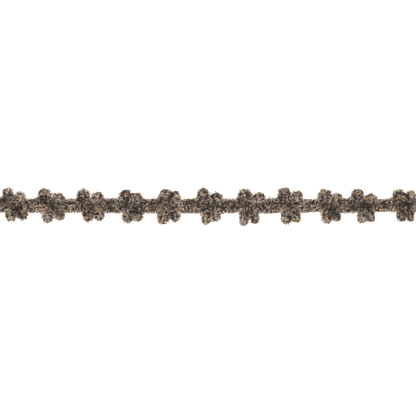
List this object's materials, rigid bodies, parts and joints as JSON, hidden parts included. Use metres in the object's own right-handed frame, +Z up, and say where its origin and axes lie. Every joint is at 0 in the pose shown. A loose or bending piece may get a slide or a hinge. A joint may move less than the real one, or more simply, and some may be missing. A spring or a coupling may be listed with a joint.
{
  "type": "chenille flower trim",
  "caption": "Narrow chenille trim: looped pile yarns bound side by side and thrown into small petalled flowers along a fuzzy band; a cut length that lies flat.",
  "frame": {"origin": "middle of the trim's box on the surface that it lies on", "axes": "+X along the trim, +Y across it towards the yarn whose left petals are the tallest, +Z up from the surface, away from the trim's back"},
  "size_m": [0.228, 0.0204, 0.004],
  "materials": {
    "chenille_pile": "matte cut pile in mixed taupe, greige and tan, darker in its depths",
    "binding_thread": "fine twisted tan sewing thread with a slight sheen"
  },
  "bodies": {
    "root": {"chenille_yarn_upper": "chenille_pile", "chenille_yarn_lower": "chenille_pile", "binding_thread": "binding_thread"}
  },
  "joints": []
}
